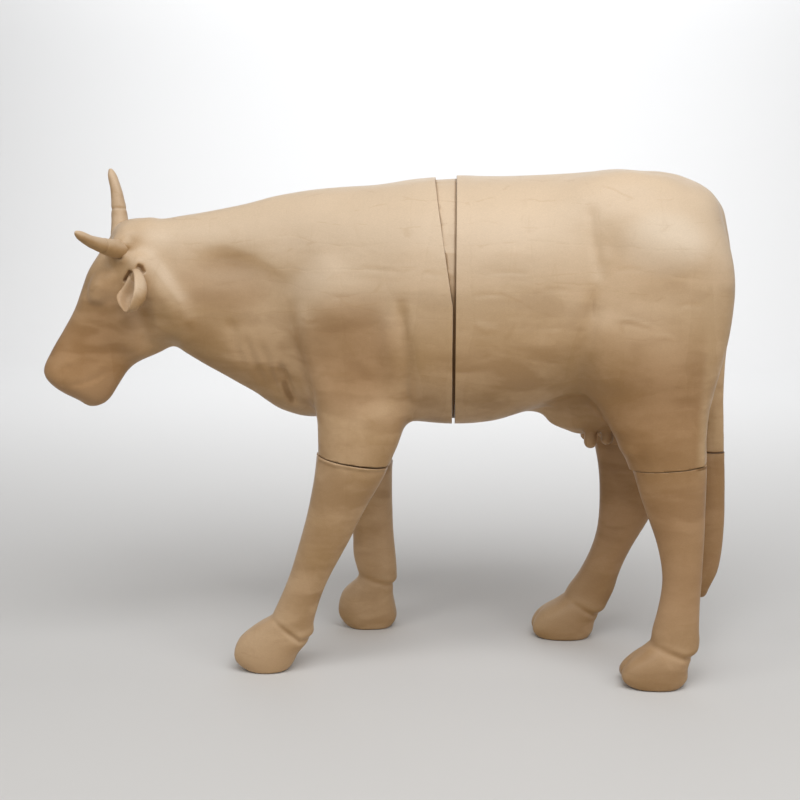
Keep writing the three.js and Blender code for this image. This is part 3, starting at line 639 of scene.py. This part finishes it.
def mix(tree, factor, first, second, blend="MIX"):
    made = add(tree, "Mix", {0: factor, 6: first, 7: second}, data_type="RGBA", blend_type=blend)
    return made.outputs[2]


def stretched(tree, vector, x, y, z):
    """Coordinates in cells of the given size in metres."""
    values = {0: vector, 1: (1 / x, 1 / y, 1 / z)}
    return add(tree, "VectorMath", values, operation="MULTIPLY").outputs[0]


def noise(tree, vector, detail=2.0, distortion=0.0):
    values = {"Vector": vector, "Scale": 1.0, "Detail": detail, "Distortion": distortion}
    return add(tree, "TexNoise", values)


def group(name, inputs, outputs):
    """A new node group, with the outputs of its input node and the inputs of its output node."""
    tree = bpy.data.node_groups.new(name, "ShaderNodeTree")
    for label, kind in inputs:
        tree.interface.new_socket(label, in_out="INPUT", socket_type="NodeSocket" + kind)
    for label, kind in outputs:
        tree.interface.new_socket(label, in_out="OUTPUT", socket_type="NodeSocket" + kind)
    return tree, tree.nodes.new("NodeGroupInput").outputs, tree.nodes.new("NodeGroupOutput").inputs


def pulp_group():
    """Paper pulp: broad blotches, level stains, small clouds and fine fibre."""
    tree, given, out = group(
        "paper pulp", [("Place", "Vector")],
        [("Blotch", "Float"), ("Stain", "Float"), ("Cloud", "Float"), ("Fibre", "Float")])
    place = given["Place"]
    blotch = noise(tree, stretched(tree, place, 0.28, 0.28, 0.2), 3)
    stain = noise(tree, stretched(tree, place, 0.16, 0.16, 0.06), 2.5, 0.3)
    patch = noise(tree, stretched(tree, place, 0.3, 0.3, 0.16), 1)
    cloud = noise(tree, stretched(tree, place, 0.022, 0.022, 0.016), 3)
    fibre = noise(tree, stretched(tree, place, 0.004, 0.004, 0.0016), 4, 0.8)
    stained = product(
        tree, spread(tree, stain.outputs[0], 0.42, 0.64), spread(tree, patch.outputs[0], 0.3, 0.55))
    tree.links.new(spread(tree, blotch.outputs[0], 0.3, 0.7), out["Blotch"])
    tree.links.new(stained, out["Stain"])
    tree.links.new(cloud.outputs[0], out["Cloud"])
    tree.links.new(fibre.outputs[0], out["Fibre"])
    return tree


# Torn strips, laid level and then upright: a strip's size in metres, and how well its edges show.
STRIPS = [((0.36, 0.3, 0.065), 0.8), ((0.085, 0.3, 0.42), 0.35)]


def strips_group():
    """Torn strips laid over each other: a tone for each strip, its edges, and how it stands up."""
    tree, given, out = group(
        "laid strips", [("Place", "Vector")], [("Tone", "Float"), ("Edge", "Float"), ("Step", "Float")])
    sway = noise(tree, stretched(tree, given["Place"], 0.07, 0.07, 0.07), 3)
    moved = add(tree, "VectorMath", {0: sway.outputs["Color"], 3: 0.022}, operation="SCALE").outputs[0]
    place = add(tree, "VectorMath", {0: given["Place"], 1: moved}, operation="ADD").outputs[0]
    tones, edges, steps = [], [], []
    for size, seen in STRIPS:
        cells = {"Vector": stretched(tree, place, *size), "Scale": 1.0, "Randomness": 0.8}
        strip = add(tree, "TexVoronoi", cells)
        edge = add(tree, "TexVoronoi", cells, feature="DISTANCE_TO_EDGE").outputs["Distance"]
        tone = add(tree, "SeparateColor", {0: strip.outputs["Color"]}).outputs[0]
        tones.append(tone)
        thin = spread(tree, edge, 0.0, 0.035, 1, 0)
        broken = spread(tree, noise(tree, stretched(tree, place, 0.06, 0.06, 0.05)).outputs[0], 0.48, 0.62)
        edges.append(product(tree, thin, broken, seen))
        steps.append(product(tree, spread(tree, edge, 0.0, 0.08), tone))
    tree.links.new(calc(tree, "MULTIPLY", calc(tree, "ADD", *tones), 0.5), out["Tone"])
    tree.links.new(calc(tree, "MAXIMUM", *edges), out["Edge"])
    tree.links.new(calc(tree, "ADD", *steps), out["Step"])
    return tree


# Places in metres from START: along x and up z.
JOINT_X = 0.0025
TAIL_SEAM_Z = 0.663


def painted_seam_shade(tree, x, z):
    """Painted shade: dark bands along the joint between the halves and along the seam over the tail's end,
    where the open gaps fall into shade.
    """
    from_joint = calc(tree, "ABSOLUTE", calc(tree, "SUBTRACT", x, JOINT_X))
    from_seam = calc(tree, "ABSOLUTE", calc(tree, "SUBTRACT", z, TAIL_SEAM_Z))
    tail = product(tree, spread(tree, from_seam, 0.005, 0.003), spread(tree, x, 0.68, 0.7))
    halves = product(tree, spread(tree, from_joint, 0.0045, 0.003), spread(tree, z, 1.3, 1.05, 0.35, 1))
    return calc(tree, "MULTIPLY", largest(tree, halves, tail), 1.6)


def oval(tree, x, z, centre, size, amount):
    """An amount that fades away from the middle of an oval on the cow's side."""
    across = calc(tree, "MULTIPLY", calc(tree, "SUBTRACT", x, centre[0]), 1 / size[0])
    up = calc(tree, "MULTIPLY", calc(tree, "SUBTRACT", z, centre[1]), 1 / size[1])
    away = calc(tree, "MULTIPLY_ADD", up, up, calc(tree, "MULTIPLY", across, across))
    return spread(tree, away, 0.1, 2.2, amount, 0)


def deep_brown_and_painted_shade(tree, x, z):
    """Deeper brown, partly the paper's own and partly painted shade: the hind legs, the tail's end and the
    muzzle, with patches of painted shade on the shoulder and neck.
    """
    upper_tail = product(tree, spread(tree, x, 0.68, 0.71), spread(tree, z, 0.62, 0.7))
    low = product(
        tree, spread(tree, z, 1.16, 0.86), spread(tree, x, 0.25, 0.5, 0.2, 0.9),
        spread(tree, z, 0.05, 0.35, 0.6, 1), calc(tree, "SUBTRACT", 1.0, upper_tail))
    face = product(tree, spread(tree, x, -0.84, -1.0, 0, 0.9), spread(tree, z, 1.24, 1.0, 0.2, 1))
    # patches of painted shade on the shoulder's swell and on the neck's side
    shoulder = oval(tree, x, z, (-0.29, 0.98), (0.13, 0.15), 0.85)
    neck = oval(tree, x, z, (-0.66, 1.17), (0.12, 0.07), 0.6)
    return largest(tree, low, face, shoulder, neck)


def dust_and_painted_light(tree, x, z, facing):
    """Paler where the skin faces up, less on the face and low down: a dusty tone and painted light from
    above. With a painted highlight, a pale patch on the hip.
    """
    clean = largest(tree, spread(tree, x, -1.0, -0.84, 0.15, 1), spread(tree, z, 1.15, 1.35, 0, 0.8))
    dust_and_light = product(tree, spread(tree, facing, -0.35, 0.5), spread(tree, z, 0.75, 1.25, 0.35, 1), clean)
    # a painted highlight: a pale oval on the hip
    return calc(tree, "ADD", dust_and_light, oval(tree, x, z, (0.57, 1.3), (0.1, 0.07), 0.4))


def handling_and_light_group():
    """What making and use leave, with painted light and shade: a dusty tone and painted light on what faces
    up, a painted highlight on the hip, rubbed ridges, dirt and painted shade in creases and seams, and
    deeper brown places, partly painted shade.
    """
    tree, given, out = group(
        "handling_and_light", [("Place", "Vector")],
        [("Dust_and_light", "Float"), ("Rubbed", "Float"), ("Dirt_and_shade", "Float"), ("Deep_and_shade", "Float")])
    moved = add(tree, "VectorMath", {0: given["Place"], 1: tuple(START)}, operation="SUBTRACT").outputs[0]
    where = add(tree, "SeparateXYZ", {0: moved})
    x, z = where.outputs["X"], where.outputs["Z"]
    shape = add(tree, "NewGeometry")
    facing = add(tree, "SeparateXYZ", {0: shape.outputs["Normal"]}).outputs["Z"]
    sharp = shape.outputs["Pointiness"]
    relief = add(tree, "Attribute", attribute_name="relief").outputs["Fac"]
    rubbed = largest(tree, spread(tree, sharp, 0.53, 0.62), spread(tree, relief, 0.5, 2.2, 0, 0.7))
    # darker in creases and hollows: dirt, and painted shade
    creased = largest(tree, spread(tree, sharp, 0.47, 0.38), spread(tree, relief, -0.35, -2.5))
    tree.links.new(dust_and_painted_light(tree, x, z, facing), out["Dust_and_light"])
    tree.links.new(rubbed, out["Rubbed"])
    # the painted shade of the open seams darkens with the creases
    tree.links.new(largest(tree, creased, painted_seam_shade(tree, x, z)), out["Dirt_and_shade"])
    tree.links.new(deep_brown_and_painted_shade(tree, x, z), out["Deep_and_shade"])
    return tree


pulp, strips, handling_and_light = pulp_group(), strips_group(), handling_and_light_group()


# a dusty tone and painted light, on what faces up
DUST_AND_LIGHT = (0.62, 0.515, 0.4, 1)
# deeper brown, and painted shade
DEEP_AND_SHADE = (0.72, 0.63, 0.54, 1)        # multiplies the paper's own colour
RUBBED = (0.66, 0.52, 0.37, 1)
# dirt, and painted shade in creases and seams
DIRT_AND_SHADE = (0.17, 0.085, 0.03, 1)


def paper(name, pale, brown, stain, roughness):
    """Varnished brown paper between two tones, stained in level streaks."""
    material = bpy.data.materials.new(name)
    material.use_nodes = True
    tree = material.node_tree
    shader = tree.nodes["Principled BSDF"]
    place = add(tree, "TexCoord").outputs["Object"]
    pulped = add(tree, "Group", node_tree=pulp)
    laid = add(tree, "Group", node_tree=strips)
    handling_and_light_node = add(tree, "Group", node_tree=handling_and_light)
    for made in (pulped, laid, handling_and_light_node):
        tree.links.new(place, made.inputs["Place"])
    dust_and_light = handling_and_light_node.outputs["Dust_and_light"]

    depth = calc(tree, "MULTIPLY", pulped.outputs["Blotch"], 0.6)
    depth = calc(tree, "MULTIPLY_ADD", laid.outputs["Tone"], 0.3, depth)
    depth = calc(tree, "MULTIPLY_ADD", pulped.outputs["Cloud"], 0.35, depth)
    colour = mix(tree, spread(tree, depth, 0.3, 1.0), pale, brown)
    under_dust_and_light = calc(tree, "MULTIPLY_ADD", dust_and_light, -0.4, 0.62)
    colour = mix(tree, calc(tree, "MULTIPLY", pulped.outputs["Stain"], under_dust_and_light), colour, stain)
    # paler on what faces up: a dusty tone and painted light from above, and a painted highlight on the hip
    colour = mix(tree, calc(tree, "MULTIPLY", dust_and_light, 0.75), colour, DUST_AND_LIGHT)
    # deeper brown, partly painted shade
    colour = mix(tree, handling_and_light_node.outputs["Deep_and_shade"], colour, DEEP_AND_SHADE, "MULTIPLY")
    fleck = spread(tree, pulped.outputs["Fibre"], 0.35, 0.7, 0.96, 1.04)
    colour = mix(tree, 1.0, colour, fleck, "MULTIPLY")
    colour = mix(tree, calc(tree, "MULTIPLY", laid.outputs["Edge"], 0.2), colour, stain)
    colour = mix(tree, calc(tree, "MULTIPLY", handling_and_light_node.outputs["Rubbed"], 0.16), colour, RUBBED)
    # darker in creases and seams: dirt, and painted shade
    colour = mix(tree, calc(tree, "MULTIPLY", handling_and_light_node.outputs["Dirt_and_shade"], 0.5), colour, DIRT_AND_SHADE)
    tree.links.new(colour, shader.inputs["Base Color"])

    rough = calc(tree, "MULTIPLY_ADD", pulped.outputs["Cloud"], 0.16, roughness - 0.08)
    rough = calc(tree, "MULTIPLY_ADD", pulped.outputs["Stain"], -0.08, rough)
    tree.links.new(rough, shader.inputs["Roughness"])
    shader.inputs["Specular IOR Level"].default_value = 0.18

    # heights in metres
    height = calc(tree, "MULTIPLY", laid.outputs["Step"], 0.0002)
    height = calc(tree, "MULTIPLY_ADD", pulped.outputs["Cloud"], 0.0004, height)
    height = calc(tree, "MULTIPLY_ADD", pulped.outputs["Fibre"], 0.00006, height)
    bumped = add(tree, "Bump", {"Height": height, "Distance": 1.0, "Strength": 1.0})
    tree.links.new(bumped.outputs["Normal"], shader.inputs["Normal"])
    return material


kraft = paper(
    "kraft paper", pale=(0.53, 0.355, 0.2, 1), brown=(0.42, 0.265, 0.125, 1),
    stain=(0.34, 0.2, 0.085, 1), roughness=0.42)
worn = paper(
    "worn paper", pale=(0.51, 0.335, 0.18, 1), brown=(0.4, 0.25, 0.12, 1),
    stain=(0.3, 0.175, 0.075, 1), roughness=0.5)
for node, piece in pieces.items():
    piece.data.materials.clear()
    piece.data.materials.append(worn if node == "joining_sleeve" else kraft)


# ---------------------------------------------------------------- studio

FLOOR_FRONT, FLOOR_BACK, HALF_WIDTH, WALL_TOP = -9.0, 5.0, 12.0, 9.0
SWEEP = 2.5             # radius of the curve between floor and wall


def studio_floor():
    """A floor that sweeps up into a back wall."""
    profile = [(FLOOR_FRONT, 0.0), (FLOOR_BACK, 0.0)]
    for turn in np.linspace(0.1, math.pi / 2, 12):
        profile.append((FLOOR_BACK + SWEEP * math.sin(turn), SWEEP - SWEEP * math.cos(turn)))
    profile.append((FLOOR_BACK + SWEEP, WALL_TOP))
    verts = [(x, y, z) for y, z in profile for x in (-HALF_WIDTH, HALF_WIDTH)]
    faces = [(2 * n, 2 * n + 1, 2 * n + 3, 2 * n + 2) for n in range(len(profile) - 1)]
    mesh = bpy.data.meshes.new("studio floor")
    mesh.from_pydata(verts, [], faces)
    mesh.polygons.foreach_set("use_smooth", [True] * len(faces))
    floor = bpy.data.objects.new("studio_floor", mesh)
    bpy.context.scene.collection.objects.link(floor)
    grey = bpy.data.materials.new("studio grey")
    grey.use_nodes = True
    shader = grey.node_tree.nodes["Principled BSDF"]
    shader.inputs["Base Color"].default_value = (0.61, 0.62, 0.635, 1)
    shader.inputs["Roughness"].default_value = 0.9
    mesh.materials.append(grey)


def surroundings():
    world = bpy.data.worlds.new("studio")
    bpy.context.scene.world = world
    world.use_nodes = True
    background = world.node_tree.nodes["Background"]
    background.inputs["Color"].default_value = (1, 0.94, 0.86, 1)
    background.inputs["Strength"].default_value = 0.34
    bpy.context.scene.view_settings.view_transform = "Standard"


def area_light(name, place, aim, size, power, colour=(1, 1, 1)):
    light = bpy.data.lights.new(name, "AREA")
    light.shape = "RECTANGLE"
    light.size, light.size_y = size
    light.energy = power
    light.color = colour
    lamp = bpy.data.objects.new(name, light)
    lamp.location = place
    lamp.rotation_euler = (Vector(aim) - Vector(place)).to_track_quat("-Z", "Y").to_euler()
    bpy.context.scene.collection.objects.link(lamp)


CAMERA_SIDEWAYS, CAMERA_AWAY, CAMERA_HEIGHT = 0.0009, 3.6911, 1.538
CAMERA_TURN = math.radians(2.495)
CAMERA_TILT = math.atan(0.2)


def camera():
    data = bpy.data.cameras.new("view")
    data.sensor_width = 36
    data.lens = 56.25
    view = bpy.data.objects.new("view", data)
    view.location = (START[0] + CAMERA_SIDEWAYS, START[1] - CAMERA_AWAY, CAMERA_HEIGHT)
    level = math.cos(CAMERA_TILT)
    ahead = (-math.sin(CAMERA_TURN) * level, math.cos(CAMERA_TURN) * level, -math.sin(CAMERA_TILT))
    view.rotation_euler = Vector(ahead).to_track_quat("-Z", "Y").to_euler()
    bpy.context.scene.collection.objects.link(view)
    bpy.context.scene.camera = view


studio_floor()
surroundings()
area_light(
    "overhead", place=(0.7, -2.2, 4.4), aim=(0.1, 0.0, 0.9), size=(4.0, 2.6), power=140,
    colour=(1.0, 0.985, 0.96))
area_light(
    "head side", place=(-2.7, -2.1, 3.4), aim=(-0.9, 0.0, 1.1), size=(1.5, 1.5), power=28,
    colour=(1.0, 0.96, 0.9))
area_light(
    "tail side", place=(3.3, -2.0, 2.6), aim=(0.7, 0.0, 1.0), size=(1.5, 1.5), power=24,
    colour=(1.0, 0.96, 0.9))
area_light("backdrop", place=(0.2, 3.4, 5.0), aim=(0.2, 7.5, 2.0), size=(8.0, 2.0), power=420)
camera()
